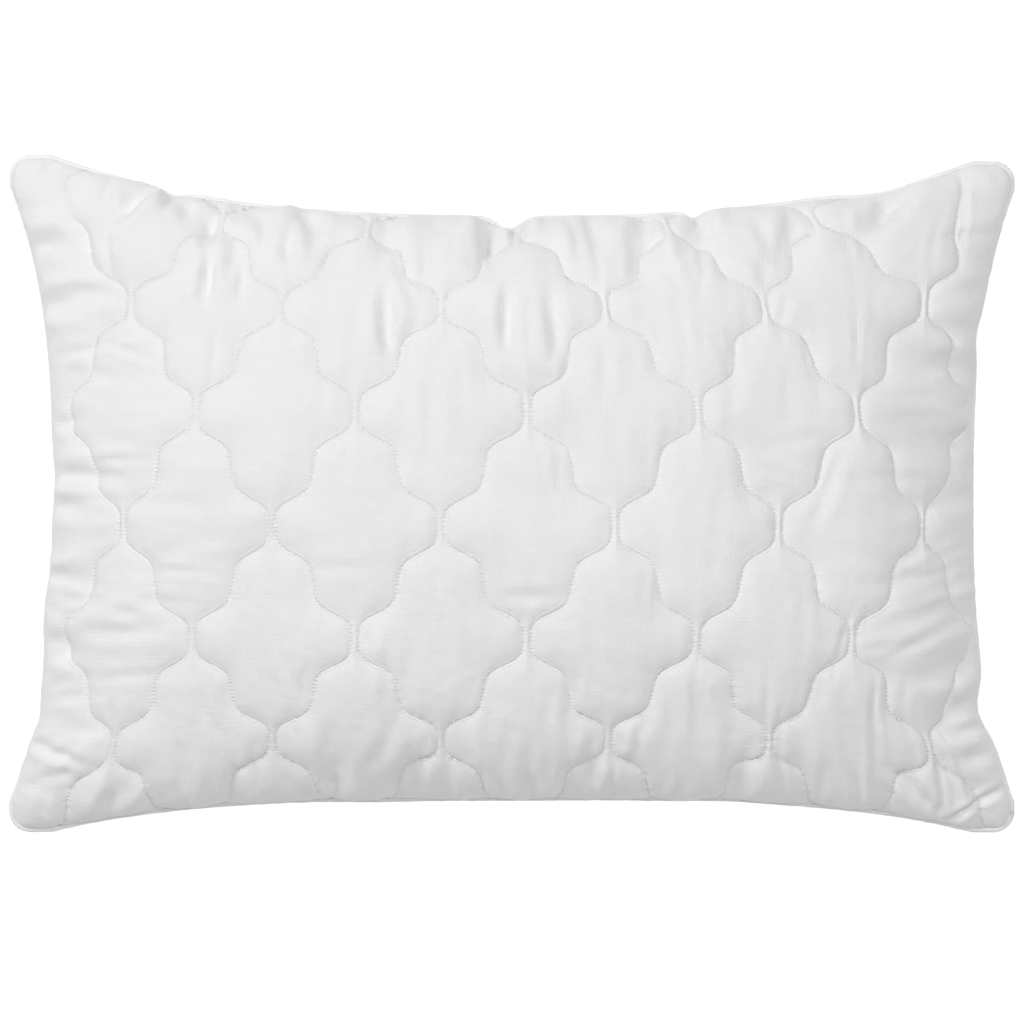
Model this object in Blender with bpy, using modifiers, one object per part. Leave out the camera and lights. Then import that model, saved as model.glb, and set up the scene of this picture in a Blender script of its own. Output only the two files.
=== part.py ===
"""Quilted bed pillow, cut 50 x 75 cm, lying flat on its back panel.

Metres, +X along the long side, +Y along the short side, +Z up through the thickness.
The origin is under the middle of the pillow, on the surface that it rests on.
"""

import math

import bmesh
import bpy
from mathutils import Vector

# Outer size of the filled pillow, corner to corner, seam piping included.
LENGTH = 0.7365
WIDTH = 0.495
# How far the middle of each side pulls in from the corners once the pillow is filled.
TOP_PULL = 0.044
BOTTOM_PULL = 0.023
LEFT_PULL = 0.032
RIGHT_PULL = 0.029
PULL_POWER = 2.8
EAR_AT = 0.92
CORNER_RADIUS = 0.022
CORNER_BLEND = 8
# The deeper layers keep further out of the corners.
CORNER_GROWTH = 6.0

# Height of the seam, and of the crown in the middle of the front. The back rests on z = 0.
SEAM_HEIGHT = 0.070
CROWN_HEIGHT = 0.168
CROWN_POWER = 2.5
CROWN_ROUNDNESS = 0.54
BACK_FLAT_FROM = 0.88

# The quilted sandwich, from the outside in, as depths below the outside of the cover.
COVER_THICKNESS = 0.0008
THREAD_DEPTH = 0.0032
THREAD_RADIUS = 0.0005
WADDING_DEPTH = 0.0060
WADDING_THICKNESS = 0.0022
LINING_DEPTH = 0.0112
LINING_THICKNESS = 0.0006
FILL_DEPTH = 0.0142

# Piping in the seam, with the two leaves of its seam allowance.
PIPING_RADIUS = 0.0024
PIPING_WALL = 0.0006
CORD_RADIUS = 0.0014
LEAF_LENGTH = 0.0110
LEAF_SLOT = 0.0018
SEAM_THREAD_RADIUS = 0.0005
SEAM_THREAD_INSET = 0.0075
SEAM_CLEARANCE = 0.0005
RIM_LIFT = 0.0048
RIM_INSET = 2 * PIPING_RADIUS + SEAM_CLEARANCE

# Quilting: wave lines that run across the short side, each the mirror of the next.
WAVE_COUNT = 12
WAVE_PERIOD = 0.123
WAVE_SWING = 0.055
WAVE_PITCH = 0.082
WAVE_STEP = 1.0
PATTERN_X = 0.012
PATTERN_Y = -0.024
THREAD_END = 0.89
WAVE_END = 0.92

# Facets: coarse on the panels, because they only carry size and weight.
PANEL_COLUMNS = 16
PANEL_ROWS = 12
EDGE_CROWDING = 1.45
RING_SIDE_POINTS = 14
RING_CORNER_POINTS = 5
THREAD_POINTS = 25

COTTON = (0.90, 0.90, 0.91, 1.0)
FIBRE = (0.93, 0.93, 0.92, 1.0)
THREAD = (0.86, 0.86, 0.88, 1.0)

FRONT = 1
BACK = -1


# Shape of the filled pillow: (u, v) runs from -1 to 1 along the two sides of a panel.

def rounded(u, v, radius):
    """The square with rounded corners that a panel is cut to, blended out towards its middle."""
    size = max(abs(u), abs(v))
    if size < 1e-9:
        return u, v
    radius_u = radius / (LENGTH / 2)
    radius_v = radius / (WIDTH / 2)
    edge_u, edge_v = u / size, v / size
    over_u = (abs(edge_u) - (1 - radius_u)) / radius_u
    over_v = (abs(edge_v) - (1 - radius_v)) / radius_v
    if over_u > 0 and over_v > 0:
        shrink = max(over_u, over_v) / math.hypot(over_u, over_v)
        edge_u = math.copysign(1 - radius_u + radius_u * over_u * shrink, edge_u)
        edge_v = math.copysign(1 - radius_v + radius_v * over_v * shrink, edge_v)
    blend = size ** CORNER_BLEND
    return u + (edge_u * size - u) * blend, v + (edge_v * size - v) * blend


def pull_share(w):
    """How much of a side's pull there is at w along it: all in the middle, none at the corners."""
    return max(0.0, 1 - (abs(w) / EAR_AT) ** PULL_POWER)


def plan(u, v, inset, radius=CORNER_RADIUS):
    """Where a panel point lies seen from above, with the panel's edge drawn in by inset."""
    u, v = rounded(u, v, radius)
    pull_x = RIGHT_PULL if u > 0 else LEFT_PULL
    pull_y = TOP_PULL if v > 0 else BOTTOM_PULL
    half_x = LENGTH / 2 - inset - pull_x * pull_share(v) * u * u
    half_y = WIDTH / 2 - inset - pull_y * pull_share(u) * v * v
    return u * half_x, v * half_y


def rise(u, v):
    """Share of the full height: 0 at the seam, 1 in the middle."""
    dome = (1 - abs(u) ** CROWN_POWER) * (1 - abs(v) ** CROWN_POWER)
    return max(dome, 0.0) ** CROWN_ROUNDNESS


def panel_point(u, v, side, depth):
    """A point depth below the outside of a panel. Its rim stands clear of the piping's leaves."""
    x, y = plan(u, v, RIM_INSET + depth, CORNER_RADIUS + CORNER_GROWTH * depth)
    if side == FRONT:
        rim = SEAM_HEIGHT + RIM_LIFT
        return x, y, rim + (CROWN_HEIGHT - depth - rim) * rise(u, v)
    rim = SEAM_HEIGHT - RIM_LIFT
    return x, y, rim + (depth - rim) * min(rise(u, v) / BACK_FLAT_FROM, 1.0)


def crowded(share):
    """Spreads grid lines from -1 to 1 so that they stand closer together near the edges."""
    return math.copysign(1 - (1 - abs(share)) ** EDGE_CROWDING, share)


# Small helpers

def clear_scene():
    for item in list(bpy.data.objects):
        bpy.data.objects.remove(item, do_unlink=True)


def make_material(name, colour, roughness):
    material = bpy.data.materials.new(name)
    material.use_nodes = True
    shader = material.node_tree.nodes["Principled BSDF"]
    shader.inputs["Base Color"].default_value = colour
    shader.inputs["Roughness"].default_value = roughness
    shader.inputs["Metallic"].default_value = 0.0
    return material


def file_object(item, name, collection, material):
    for other in list(item.users_collection):
        other.objects.unlink(item)
    collection.objects.link(item)
    item.name = name
    item.data.name = name
    item.data.materials.clear()
    item.data.materials.append(material)


def grid_surface(side, depth):
    """An open panel surface, bent from a flat grid, with its faces pointing out of the pillow."""
    bpy.ops.mesh.primitive_grid_add(x_subdivisions=PANEL_COLUMNS, y_subdivisions=PANEL_ROWS, size=2)
    item = bpy.context.object
    for vertex in item.data.vertices:
        u, v = crowded(vertex.co.x), crowded(vertex.co.y)
        vertex.co = panel_point(u, v, side, depth)
    if side == BACK:
        item.data.flip_normals()
    return item


def panel_layer(name, side, depth, thickness, collection, material):
    """One layer of the quilted sandwich: an open surface made solid towards the inside."""
    item = grid_surface(side, depth)
    file_object(item, name, collection, make_material(name, *material))
    shell = item.modifiers.new("Layer thickness", "SOLIDIFY")
    shell.thickness = thickness
    shell.offset = -1
    item.data.shade_smooth()
    return item


def fill_core(name, collection, material):
    """The loose filling as one closed body: a front and a back surface, joined round the rim."""
    front = grid_surface(FRONT, FILL_DEPTH)
    back = grid_surface(BACK, FILL_DEPTH)
    body = bmesh.new()
    body.from_mesh(front.data)
    body.from_mesh(back.data)
    rim = [edge for edge in body.edges if edge.is_boundary]
    bmesh.ops.bridge_loops(body, edges=rim)
    bmesh.ops.recalc_face_normals(body, faces=body.faces)
    body.to_mesh(front.data)
    body.free()
    bpy.data.objects.remove(back, do_unlink=True)
    file_object(front, name, collection, make_material(name, *material))
    front.data.shade_smooth()
    return front


def ring_points(inset):
    """The seam line round the pillow, with more points on its rounded corners."""
    corner_u = 1 - CORNER_RADIUS / (LENGTH / 2)
    corner_v = 1 - CORNER_RADIUS / (WIDTH / 2)
    sides = (((1, 0), (0, 1)), ((0, 1), (-1, 0)), ((-1, 0), (0, -1)), ((0, -1), (1, 0)))
    points = []
    for (out_u, out_v), (along_u, along_v) in sides:
        for i in range(RING_SIDE_POINTS):
            share = 2 * i / RING_SIDE_POINTS - 1
            points.append((out_u + along_u * share * corner_u, out_v + along_v * share * corner_v))
        for i in range(RING_CORNER_POINTS):
            angle = math.pi / 2 * i / RING_CORNER_POINTS
            out, along = math.cos(angle), math.sin(angle)
            size = max(out, along)
            reach_u = abs(out_u * out + along_u * along) / size
            reach_v = abs(out_v * out + along_v * along) / size
            u = (out_u + along_u) * (corner_u + (1 - corner_u) * reach_u)
            v = (out_v + along_v) * (corner_v + (1 - corner_v) * reach_v)
            points.append((u, v))
    return [plan(u, v, inset) for u, v in points]


def curve_object(points, cyclic):
    curve = bpy.data.curves.new("route", "CURVE")
    curve.dimensions = "3D"
    spline = curve.splines.new("POLY")
    spline.points.add(len(points) - 1)
    for target, point in zip(spline.points, points):
        target.co = (*point, 1.0)
    spline.use_cyclic_u = cyclic
    return bpy.data.objects.new("route", curve)


def ring_tube(name, inset, radius, sides, collection, material):
    """A closed cord or thread that lies all the way round in the seam."""
    item = curve_object([(x, y, SEAM_HEIGHT) for x, y in ring_points(inset)], True)
    item.data.bevel_depth = radius
    item.data.bevel_resolution = (sides - 4) // 2
    file_object(item, name, collection, make_material(name, *material))
    return item


def piping_section():
    """Cross-section of the folded strip: a round fold with two leaves, open towards the pillow."""
    inner_radius = PIPING_RADIUS - PIPING_WALL
    outer_z = LEAF_SLOT / 2 + PIPING_WALL
    inner_z = LEAF_SLOT / 2
    outer_start = math.pi - math.asin(outer_z / PIPING_RADIUS)
    inner_start = math.pi - math.asin(inner_z / inner_radius)
    points = [(-LEAF_LENGTH, outer_z)]
    for i in range(7):
        angle = outer_start * (1 - i / 3)
        points.append((PIPING_RADIUS * math.cos(angle), PIPING_RADIUS * math.sin(angle)))
    points += [(-LEAF_LENGTH, -outer_z), (-LEAF_LENGTH, -inner_z)]
    for i in range(5):
        angle = -inner_start * (1 - i / 2)
        points.append((inner_radius * math.cos(angle), inner_radius * math.sin(angle)))
    points.append((-LEAF_LENGTH, inner_z))
    return points


def piping_cover(name, collection, material):
    """The piping strip, swept round the seam with its leaves pointing in."""
    route = ring_points(PIPING_RADIUS)
    section = piping_section()
    count, size = len(route), len(section)
    body = bmesh.new()
    rings = []
    for i, (x, y) in enumerate(route):
        back_x, back_y = route[i - 1]
        next_x, next_y = route[(i + 1) % count]
        before = math.atan2(y - back_y, x - back_x)
        turn = math.remainder(math.atan2(next_y - y, next_x - x) - before, math.tau)
        outward = before + turn / 2 - math.pi / 2
        mitre = 1 / math.cos(turn / 2)
        out_x = math.cos(outward) * mitre
        out_y = math.sin(outward) * mitre
        rings.append([body.verts.new((x + out_x * a, y + out_y * a, SEAM_HEIGHT + z)) for a, z in section])
    for i in range(count):
        this, following = rings[i], rings[(i + 1) % count]
        for j in range(size):
            k = (j + 1) % size
            body.faces.new((this[j], following[j], following[k], this[k]))
    bmesh.ops.recalc_face_normals(body, faces=body.faces)
    mesh = bpy.data.meshes.new(name)
    body.to_mesh(mesh)
    body.free()
    item = bpy.data.objects.new(name, mesh)
    file_object(item, name, collection, make_material(name, *material))
    return item


# Quilting lines

def wave_offset(y):
    """Sideways swing of a wave line at y: an S over each pitch, upright at both of its ends."""
    half_turns = (y - PATTERN_Y) / WAVE_PITCH
    whole = math.floor(half_turns)
    part = half_turns - whole
    swing = part - WAVE_STEP * math.sin(4 * math.pi * part) / (4 * math.pi)
    if whole % 2:
        swing = 1 - swing
    return WAVE_SWING * (swing - 0.5)


def wave_line(index):
    """Panel points (u, v) along one wave line, before the pillow is filled."""
    middle = PATTERN_X + (index - (WAVE_COUNT - 1) / 2) * WAVE_PERIOD / 2
    sign = 1 if index % 2 else -1
    points = []
    for i in range(THREAD_POINTS):
        v = WAVE_END * (2 * i / (THREAD_POINTS - 1) - 1)
        x = middle + sign * wave_offset(v * WIDTH / 2)
        u = max(-THREAD_END, min(THREAD_END, x / (LENGTH / 2)))
        points.append((u, v))
    return points


def on_facets(u, v, side, depth):
    """A panel point read off the coarse facets that the layers are made of."""
    columns = [crowded(2 * i / PANEL_COLUMNS - 1) for i in range(PANEL_COLUMNS + 1)]
    rows = [crowded(2 * i / PANEL_ROWS - 1) for i in range(PANEL_ROWS + 1)]
    i = max(k for k in range(PANEL_COLUMNS) if columns[k] <= u)
    j = max(k for k in range(PANEL_ROWS) if rows[k] <= v)
    part_u = (u - columns[i]) / (columns[i + 1] - columns[i])
    part_v = (v - rows[j]) / (rows[j + 1] - rows[j])
    point = Vector()
    for a, weight_u in ((i, 1 - part_u), (i + 1, part_u)):
        for b, weight_v in ((j, 1 - part_v), (j + 1, part_v)):
            point += weight_u * weight_v * Vector(panel_point(columns[a], rows[b], side, depth))
    return point


def quilt_thread(name, index, side, collection, material):
    """The thread of one wave line, lying between the cover and the wadding."""
    route = [on_facets(u, v, side, THREAD_DEPTH) for u, v in wave_line(index)]
    item = curve_object(route, False)
    item.data.bevel_depth = THREAD_RADIUS
    item.data.bevel_resolution = 0
    item.data.use_fill_caps = True
    file_object(item, name, collection, make_material(name, *material))
    return item


def build_pillow():
    clear_scene()
    collection = bpy.data.collections.new("bed_pillow")
    bpy.context.scene.collection.children.link(collection)
    cotton, fibre, thread = (COTTON, 0.8), (FIBRE, 0.95), (THREAD, 0.5)
    for word, side in (("front", FRONT), ("back", BACK)):
        panel_layer(f"{word}_cover", side, 0.0, COVER_THICKNESS, collection, cotton)
        panel_layer(f"{word}_wadding", side, WADDING_DEPTH, WADDING_THICKNESS, collection, fibre)
        panel_layer(f"{word}_lining", side, LINING_DEPTH, LINING_THICKNESS, collection, cotton)
        for index in range(WAVE_COUNT):
            quilt_thread(f"{word}_quilt_thread_{index + 1:02d}", index, side, collection, thread)
    fill_core("fibre_fill", collection, fibre)
    piping_cover("piping_cover", collection, cotton)
    ring_tube("piping_cord", PIPING_RADIUS, CORD_RADIUS, 6, collection, fibre)
    ring_tube("seam_thread", SEAM_THREAD_INSET, SEAM_THREAD_RADIUS, 4, collection, thread)


build_pillow()
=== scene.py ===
import math

import bpy
import numpy as np
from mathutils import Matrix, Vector, kdtree


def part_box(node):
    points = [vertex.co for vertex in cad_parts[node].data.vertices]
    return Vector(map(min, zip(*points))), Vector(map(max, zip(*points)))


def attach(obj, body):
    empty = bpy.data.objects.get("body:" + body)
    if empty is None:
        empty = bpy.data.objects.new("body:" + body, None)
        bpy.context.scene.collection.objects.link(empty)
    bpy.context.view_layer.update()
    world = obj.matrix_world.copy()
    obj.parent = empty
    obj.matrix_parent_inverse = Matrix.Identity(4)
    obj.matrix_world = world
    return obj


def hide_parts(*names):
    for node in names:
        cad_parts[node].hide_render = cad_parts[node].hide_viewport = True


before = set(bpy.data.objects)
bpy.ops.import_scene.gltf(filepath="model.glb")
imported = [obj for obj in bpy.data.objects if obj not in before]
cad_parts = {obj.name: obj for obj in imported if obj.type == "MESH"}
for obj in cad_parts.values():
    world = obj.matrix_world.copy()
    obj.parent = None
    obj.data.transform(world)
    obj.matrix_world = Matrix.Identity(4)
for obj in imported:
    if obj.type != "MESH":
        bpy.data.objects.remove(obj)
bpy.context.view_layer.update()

tau = math.tau

# the pillow's own sizes, read off the CAD pieces
weltLow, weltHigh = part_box("piping_cover")
frontLow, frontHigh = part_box("front_cover")
halfLength = (weltHigh.x - weltLow.x) / 2
halfWidth = (weltHigh.y - weltLow.y) / 2
midX = (weltHigh.x + weltLow.x) / 2
midY = (weltHigh.y + weltLow.y) / 2
seamHeight = (weltHigh.z + weltLow.z) / 2
crownHeight = frontHigh.z

# the filled pillow: pulls are how far the middle of each side draws in, metres
pillow = {
    "topPull": 0.044, "bottomPull": 0.023, "leftPull": 0.032, "rightPull": 0.029,
    "topPower": 2.8, "bottomPower": 3.6, "sidePower": 2.8,
    "earAt": 0.92, "cornerRadius": 0.014,
    "crownPower": 2.5, "crownRoundness": 0.54, "backFlatFrom": 0.88,
    "rimLift": 0.0012,
    "pullGrowth": 3,  # how steeply the pull fades towards the middle of the panel
    "earDrop": 0.005, "earFrom": 0.6, "earOver": 0.3,  # how far the top right corner is drawn down
}
# the seam rises and falls slowly all the way round: heights, radians per metre and their starts
seamLevel = {
    "slow": 0.003, "slowX": 11, "slowY": 9, "startX": 0.6, "startY": 0.4,
    "quick": 0.0015, "quickX": 31, "quickY": 17,
}
# dents (+) and swells (-) of the outline: place along the side, width, depth
outlineDents = {
    "top": [(-0.247, 0.010, 0.004), (-0.002, 0.012, 0.010), (0.134, 0.007, 0.005),
            (0.270, 0.030, 0.005)],
    "bottom": [(-0.095, 0.030, -0.001), (0.160, 0.030, 0.001)],
    "left": [(-0.088, 0.030, -0.004), (-0.165, 0.015, 0.003), (0.010, 0.020, 0.002)],
    "right": [(-0.160, 0.020, 0.008), (0.118, 0.020, 0.003)],
}
quilt = {
    "waves": 12, "period": 0.123, "swing": 0.0566, "pitch": 0.082,
    "shiftX": 0.012, "shiftY": -0.024, "stepsAt": (0.235, 0.765), "stepWidth": 0.075,
    "stepShare": 0.44, "slantShare": 0.12, "seamMargin": 0.0045, "shownMargin": 0.002,
    "puffHeight": 0.0021, "puffReach": 0.0030,
    "domeHeight": 0.0030, "domeReach": 0.0125, "seamReach": 0.0034,
    "columns": 44, "rows": 252, "edgeRows": 0.55,
    "evenShare": 0.2,  # how evenly the grid columns lie between two stitch lines
}
welt = {
    "radius": 0.0018, "wall": 0.0005, "cord": 0.0011, "leaf": 0.0105, "slot": 0.0014, "overlap": 0.0003,
    "points": 720, "cordSides": 10, "unevenness": 0.05, "unevenLength": 0.012,
    "leafFold": 0.6, "outerPoints": 21, "innerPoints": 13,
    "flat": (2.42, 0.028), "biasShare": 0.7071,
}
stitch = {"length": 0.0029, "radius": 0.00034, "rise": 0.00034, "dip": 0.00075, "points": 6, "leastRows": 6}
closingSeam = {"inset": 0.0070, "points": 900, "sides": 6}


def smooth(t):
    t = np.clip(t, 0.0, 1.0)
    return t * t * (3 - 2 * t)


def dents(place, items):
    total = np.zeros_like(place)
    for at, width, depth in items:
        total += depth * np.exp(-((place - at) / width) ** 2)
    return total


def pullShare(w, power):
    return np.clip(1 - (np.abs(w) / pillow["earAt"]) ** power, 0, 1)


def rimReach(b):
    # half length of the cut panel at height b, shorter where the corners are round
    r = pillow["cornerRadius"]
    into = np.clip(np.abs(b) - (halfWidth - r), 0, r)
    return halfLength - r + np.sqrt(np.maximum(r * r - into * into, 0))


def planOf(a, b, inset=0.0):
    # from the flat cut panel to the filled pillow seen from above
    u, v = a / halfLength, b / halfWidth
    rightSide, topSide = u > 0, v > 0
    pullX = np.where(rightSide, pillow["rightPull"], pillow["leftPull"]) * pullShare(v, pillow["sidePower"])
    pullX = pullX + np.where(rightSide, dents(b, outlineDents["right"]), dents(b, outlineDents["left"]))
    powerY = np.where(topSide, pillow["topPower"], pillow["bottomPower"])
    pullY = np.where(topSide, pillow["topPull"], pillow["bottomPull"]) * pullShare(u, powerY)
    pullY = pullY + np.where(topSide, dents(a, outlineDents["top"]), dents(a, outlineDents["bottom"]))
    pullY = pullY + pillow["earDrop"] * smooth((u - pillow["earFrom"]) / pillow["earOver"]) * topSide
    grow = pillow["pullGrowth"]
    x = midX + a * (1 - inset / halfLength) - np.sign(u) * np.abs(u) ** grow * pullX
    y = midY + b * (1 - inset / halfWidth) - np.sign(v) * np.abs(v) ** grow * pullY
    return x, y


def riseOf(a, b):
    u = a / np.maximum(rimReach(b), 1e-6)
    v = b / halfWidth
    p = pillow["crownPower"]
    dome = (1 - np.clip(np.abs(u), 0, 1) ** p) * (1 - np.clip(np.abs(v), 0, 1) ** p)
    return np.clip(dome, 0, 1) ** pillow["crownRoundness"]


def seamWander(a, b):
    k = seamLevel
    slow = np.sin(a * k["slowX"] + k["startX"]) * np.cos(b * k["slowY"] + k["startY"])
    return k["slow"] * slow + k["quick"] * np.sin(a * k["quickX"] + b * k["quickY"])


def baseSurface(a, b, side, inset):
    x, y = planOf(a, b, inset)
    rise = riseOf(a, b)
    seam = seamHeight + seamWander(a, b)
    if side > 0:
        rim = seam + pillow["rimLift"]
        z = rim + (crownHeight - rim) * rise
    else:
        rim = seam - pillow["rimLift"]
        z = rim - rim * np.minimum(rise / pillow["backFlatFrom"], 1.0)
    return np.stack([x, y, z], -1)


def waveAt(index, b):
    # one quilting line on the flat panel: its place along the length at height b
    turns = (b - quilt["shiftY"]) / quilt["pitch"]
    whole = np.floor(turns)
    part = turns - whole
    # two quick sideways steps in each pitch, upright before, between and after them
    steps = [0.5 + 0.5 * np.tanh((part - at) / quilt["stepWidth"]) for at in quilt["stepsAt"]]
    slant = part - np.sin(tau * part) / tau
    swing = quilt["stepShare"] * (steps[0] + steps[1]) + quilt["slantShare"] * slant
    swing = np.where(whole % 2 == 1, 1 - swing, swing) - 0.5
    middle = quilt["shiftX"] + (index - (quilt["waves"] - 1) / 2) * quilt["period"] / 2
    return middle + (1 if index % 2 else -1) * quilt["swing"] * swing


# where the cloth is bunched: towards the middle of the top seam, to the left along the lower half
# and on the right, and closed up near the two short seams
bunching = {
    "topFrom": 0.02, "topOver": 0.20, "topMost": 1.1, "topPower": 1.6, "topShare": 0.125,
    "topMiddle": -0.045,
    "endsFrom": 0.26, "endsOver": 0.10,
    "lowFrom": -0.06, "lowOver": 0.13, "lowMost": 1.2, "lowShift": 0.0075, "lowLeft": -0.15,
    "lowRise": 0.40,
    "rightShift": 0.0045, "rightTop": 0.06, "rightOver": 0.12, "rightFrom": 0.10, "rightRise": 0.15,
    "sideFrom": 0.28, "sideClose": 1.9, "sideCloseTop": 3.2, "sideOpenLow": 1.2, "cornerFrom": 0.15,
    "cornerOver": 0.06,
}


def bunched(x, b):
    k = bunching
    into = np.clip((b - k["topFrom"]) / k["topOver"], 0, k["topMost"])
    ends = 1 - smooth((np.abs(x) - k["endsFrom"]) / k["endsOver"])
    x = x - (x - k["topMiddle"]) * k["topShare"] * into ** k["topPower"] * ends
    down = np.clip((k["lowFrom"] - b) / k["lowOver"], 0, k["lowMost"])
    x = x - k["lowShift"] * down * ends * smooth((x - k["lowLeft"]) / k["lowRise"])
    lower = smooth((k["rightTop"] - b) / k["rightOver"])
    x = x - k["rightShift"] * lower * smooth((x - k["rightFrom"]) / k["rightRise"])
    nearTop = smooth((b - k["cornerFrom"]) / k["cornerOver"])
    nearBottom = smooth((-k["cornerFrom"] - b) / k["cornerOver"])
    closeUp = k["sideClose"] + k["sideCloseTop"] * nearTop - k["sideOpenLow"] * nearBottom
    return x - np.sign(x) * closeUp * np.maximum(np.abs(x) - k["sideFrom"], 0) ** 2


def seamRows():
    # rows of the panel grid, closer together towards the two long seams
    s = np.linspace(-1, 1, quilt["rows"] + 1)
    k = quilt["edgeRows"]
    return halfWidth * (k * np.sin(s * math.pi / 2) + (1 - k) * s)


def stripShares():
    # columns between two stitch lines, crowded towards both stitches
    n = quilt["columns"]
    t = np.linspace(0, 1, n + 1)
    even = 0.5 - 0.5 * np.cos(math.pi * t)
    return quilt["evenShare"] * t + (1 - quilt["evenShare"]) * even


def panelGrid():
    # flat coordinates of every grid point, stitch line columns, and which stitches show
    b = seamRows()
    reach = rimReach(b)
    lines = [-reach]
    shown = []
    for index in range(quilt["waves"]):
        limit = reach - quilt["seamMargin"]
        x = bunched(waveAt(index, b), b)
        shown.append(np.abs(x) < limit - quilt["shownMargin"])
        lines.append(np.clip(x, -limit, limit))
    lines.append(reach)
    shares = stripShares()
    columns = []
    for left, right in zip(lines[:-1], lines[1:]):
        for t in shares[:-1]:
            columns.append(left + (right - left) * t)
    columns.append(lines[-1])
    a = np.stack(columns, 1)
    return a, np.repeat(b[:, None], a.shape[1], 1), lines, shown


def stitchMeasures(a, b, lines, shown):
    # for every grid point: how far the nearest stitch is, and where along its line
    points, along = [], []
    rowPlaces = seamRows()
    for line, seen in zip(lines[1:-1], shown):
        step = np.hypot(np.diff(line), np.diff(rowPlaces))
        run = np.concatenate([[0], np.cumsum(step)])
        for x, y, s, isSeen in zip(line, rowPlaces, run, seen):
            if isSeen:
                points.append((x, y, 0))
                along.append(s)
    tree = kdtree.KDTree(len(points))
    for i, p in enumerate(points):
        tree.insert(p, i)
    tree.balance()
    away = np.empty(a.size)
    place = np.empty(a.size)
    for i, (x, y) in enumerate(zip(a.ravel(), b.ravel())):
        near, which, distance = tree.find((x, y, 0))
        away[i] = distance
        place[i] = along[which]
    return away.reshape(a.shape), place.reshape(a.shape)


class Ripples:
    # soft seeded noise: a sum of waves with random headings
    def __init__(self, seed, size, count=14, spread=0.45, heading=None, fan=math.pi):
        rng = np.random.default_rng(seed)
        turn = (0 if heading is None else heading) + rng.uniform(-fan, fan, count) / 2
        reach = size * np.exp(rng.uniform(-spread, spread, count))
        self.kx = tau / reach * np.cos(turn)
        self.ky = tau / reach * np.sin(turn)
        self.phase = rng.uniform(0, tau, count)
        self.scale = 1 / math.sqrt(count / 2)

    def at(self, a, b):
        total = np.zeros_like(a)
        for kx, ky, phase in zip(self.kx, self.ky, self.phase):
            total += np.sin(kx * a + ky * b + phase)
        return total * self.scale


# gathers at the seams: place along the seam, width, depth, how far in they reach, lean
mainGathers = {
    "top": [(-0.150, 0.0075, 0.0038, 0.050, 0.20), (-0.085, 0.0060, 0.0030, 0.050, -0.10),
            (-0.017, 0.0065, 0.0056, 0.060, 0.02), (0.010, 0.0060, 0.0012, 0.050, -0.05),
            (0.034, 0.0070, 0.0014, 0.060, -0.12), (0.060, 0.0060, 0.0020, 0.050, -0.10),
            (0.096, 0.0070, 0.0038, 0.060, 0.00), (-0.195, 0.0070, 0.0020, 0.050, 0.45),
            (-0.245, 0.0080, 0.0024, 0.055, 0.70), (0.134, 0.0060, 0.0034, 0.045, 0.10),
            (0.290, 0.0090, 0.0040, 0.045, -0.60), (0.215, 0.0080, 0.0026, 0.050, -0.20)],
    "bottom": [(-0.130, 0.0070, 0.0026, 0.060, 0.10), (-0.005, 0.0075, 0.0024, 0.055, 0.00),
               (0.012, 0.0060, 0.0022, 0.050, 0.05), (0.160, 0.0075, 0.0028, 0.060, 0.10),
               (-0.300, 0.0080, 0.0030, 0.035, 0.60), (0.318, 0.0070, 0.0026, 0.040, -0.90)],
    "left": [(0.180, 0.0060, 0.0022, 0.040, 0.10), (0.138, 0.0060, 0.0022, 0.045, 0.05),
             (0.012, 0.0060, 0.0030, 0.050, 0.00), (-0.008, 0.0050, 0.0022, 0.040, 0.00),
             (-0.064, 0.0070, 0.0026, 0.050, -0.05), (-0.108, 0.0060, 0.0022, 0.040, -0.10)],
    "right": [(0.085, 0.0090, 0.0026, 0.060, 0.20), (0.038, 0.0080, 0.0024, 0.055, 0.10),
              (-0.004, 0.0070, 0.0024, 0.050, 0.05), (-0.115, 0.0090, 0.0018, 0.055, -0.20),
              (-0.150, 0.0070, 0.0016, 0.045, -0.30)],
}
smallGathers = {
    "spacing": 0.024, "depth": 0.0014, "width": 0.0050, "reach": 0.026,
    "jitter": 0.009, "lean": 0.25, "spread": 0.92, "sidesShare": 1.8,
    "widths": (0.6, 1.4), "depths": (0.2, 1.3), "reaches": (0.5, 1.6),
}
# on the back the main gathers are mirrored, moved a little and made shallower
backGathers = {"shift": 0.03, "depths": (0.6, 1.0), "frontSeed": 7, "backSeed": 19}
gatherShape = {"narrow": 0.8, "fanOut": 0.9, "start": 0.022, "fade": 2.6, "gain": 1.8, "ridge": 0.45,
               "ridgeAt": 1.9}


def gathersFor(side, seed):
    rng = np.random.default_rng(seed)
    made = {}
    for edge, items in mainGathers.items():
        half = halfLength if edge in ("top", "bottom") else halfWidth
        folds = []
        for at, width, depth, reach, lean in items:
            if side > 0:
                folds.append((at, width, depth, reach, lean))
            else:
                shift = rng.uniform(-backGathers["shift"], backGathers["shift"])
                shallow = rng.uniform(*backGathers["depths"])
                folds.append((-at + shift, width, depth * shallow, reach, -lean))
        k = smallGathers
        count = int(k["sidesShare"] * half / k["spacing"])
        for i in range(count):
            at = half * (2 * (i + 0.5) / count - 1) * k["spread"] + rng.uniform(-k["jitter"], k["jitter"])
            width = k["width"] * rng.uniform(*k["widths"])
            depth = k["depth"] * rng.uniform(*k["depths"])
            reach = k["reach"] * rng.uniform(*k["reaches"])
            folds.append((at, width, depth, reach, rng.uniform(-k["lean"], k["lean"])))
        made[edge] = folds
    return made


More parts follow.
